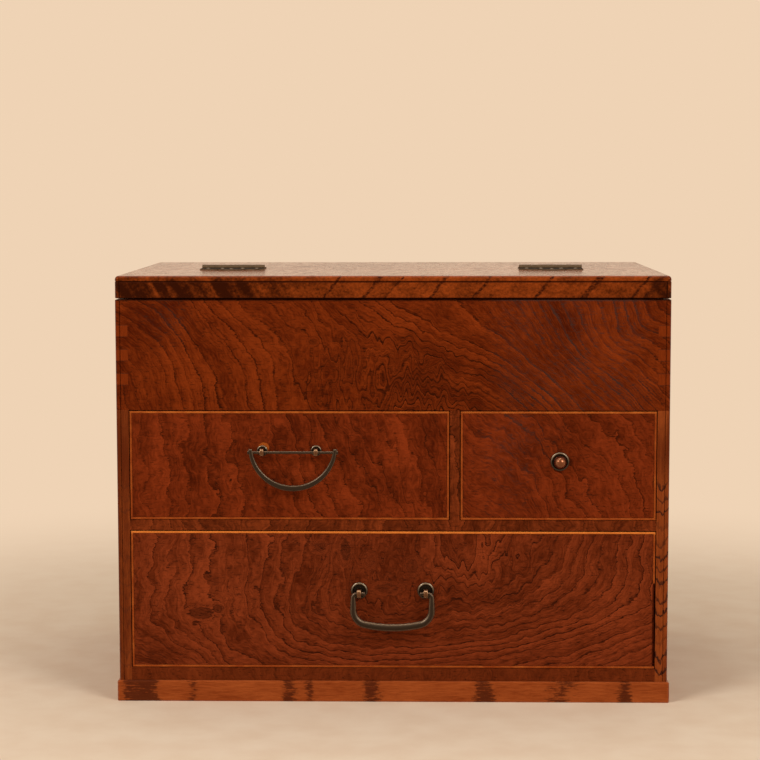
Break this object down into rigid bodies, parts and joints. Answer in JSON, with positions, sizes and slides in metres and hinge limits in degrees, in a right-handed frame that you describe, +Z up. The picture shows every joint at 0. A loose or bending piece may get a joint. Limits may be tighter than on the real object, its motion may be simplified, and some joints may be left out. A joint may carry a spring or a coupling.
{
  "type": "tabletop tansu chest",
  "caption": "Small tabletop wooden chest with a hinged lid over an upper compartment, drawers with hanging bail handles and a knob, and a low plinth.",
  "frame": {"origin": "on the floor, under the middle of the whole outline with the knob", "axes": "+Z up, the front faces -Y, +X along the width to the right seen from the front"},
  "size_m": [0.3668, 0.2337, 0.2862],
  "materials": {
    "lacquered_zelkova": "figured zelkova under worn red-brown wiped lacquer, satin",
    "inner_boards": "plain softwood boards, aged brown",
    "drawer_box_wood": "bare paulownia, aged tan",
    "edging_wood": "thin lighter strips under worn lacquer",
    "peg_wood": "end grain of wooden pegs under lacquer",
    "patinated_iron": "dark brown patina, worn bright on edges",
    "worn_copper": "darkened copper alloy, worn bright where touched"
  },
  "bodies": {
    "carcass": {"left_side": "lacquered_zelkova", "right_side": "lacquered_zelkova", "upper_front": "lacquered_zelkova", "back_panel": "inner_boards", "bottom_rail": "lacquered_zelkova", "bottom_board": "inner_boards", "shelf_rail": "lacquered_zelkova", "shelf_board": "inner_boards", "divider_post": "lacquered_zelkova", "divider_panel": "inner_boards", "compartment_floor": "inner_boards", "plinth_front": "lacquered_zelkova", "plinth_left": "lacquered_zelkova", "plinth_right": "lacquered_zelkova", "plinth_back": "lacquered_zelkova", "lid_rear_strip": "lacquered_zelkova", "left_hinge_rear_leaf": "patinated_iron", "right_hinge_rear_leaf": "patinated_iron", "left_hinge_pin": "patinated_iron", "right_hinge_pin": "patinated_iron", "hinge_strip_nails": "patinated_iron", "carcass_pegs": "peg_wood", "back_pegs": "peg_wood", "lid_pegs": "peg_wood"},
    "lid": {"lid_flap": "lacquered_zelkova", "left_hinge_front_leaf": "patinated_iron", "right_hinge_front_leaf": "patinated_iron", "hinge_flap_nails": "patinated_iron"},
    "small_left_drawer": {"small_left_drawer_front": "lacquered_zelkova", "small_left_drawer_edging": "edging_wood", "small_left_drawer_left_side": "drawer_box_wood", "small_left_drawer_right_side": "drawer_box_wood", "small_left_drawer_back": "drawer_box_wood", "small_left_drawer_bottom": "drawer_box_wood", "small_left_drawer_pegs": "peg_wood", "rod_handle_rosettes": "patinated_iron", "rod_handle_posts": "worn_copper"},
    "small_right_drawer": {"small_right_drawer_front": "lacquered_zelkova", "small_right_drawer_edging": "edging_wood", "small_right_drawer_left_side": "drawer_box_wood", "small_right_drawer_right_side": "drawer_box_wood", "small_right_drawer_back": "drawer_box_wood", "small_right_drawer_bottom": "drawer_box_wood", "small_right_drawer_pegs": "peg_wood", "knob_rosette": "patinated_iron", "drawer_knob": "worn_copper"},
    "large_drawer": {"large_drawer_front": "lacquered_zelkova", "large_drawer_edging": "edging_wood", "large_drawer_left_side": "drawer_box_wood", "large_drawer_right_side": "drawer_box_wood", "large_drawer_back": "drawer_box_wood", "large_drawer_bottom": "drawer_box_wood", "large_drawer_pegs": "peg_wood", "bent_handle_rosettes": "patinated_iron", "bent_handle_posts": "worn_copper"},
    "rod_handle": {"rod_handle_bail": "patinated_iron", "rod_handle_rod": "patinated_iron"},
    "bent_handle": {"bent_handle_bail": "patinated_iron"}
  },
  "joints": [
    {"name": "lid_hinge", "type": "hinge", "parent": "carcass", "child": "lid", "pos_m": [0, -0.0049, 0.28485], "axis": [-1, 0, 0], "range_deg": [0, 180]},
    {"name": "small_left_drawer_slide", "type": "slide", "parent": "carcass", "child": "small_left_drawer", "axis": [0, -1, 0], "range_m": [0, 0.16]},
    {"name": "small_right_drawer_slide", "type": "slide", "parent": "carcass", "child": "small_right_drawer", "axis": [0, -1, 0], "range_m": [0, 0.16]},
    {"name": "large_drawer_slide", "type": "slide", "parent": "carcass", "child": "large_drawer", "axis": [0, -1, 0], "range_m": [0, 0.17]},
    {"name": "rod_handle_swing", "type": "hinge", "parent": "small_left_drawer", "child": "rod_handle", "pos_m": [-0.06535, -0.11275, 0.1676], "axis": [-1, 0, 0], "range_deg": [-7, 180]},
    {"name": "bent_handle_swing", "type": "hinge", "parent": "large_drawer", "child": "bent_handle", "pos_m": [0, -0.11375, 0.0739], "axis": [-1, 0, 0], "range_deg": [-9, 180]}
  ]
}
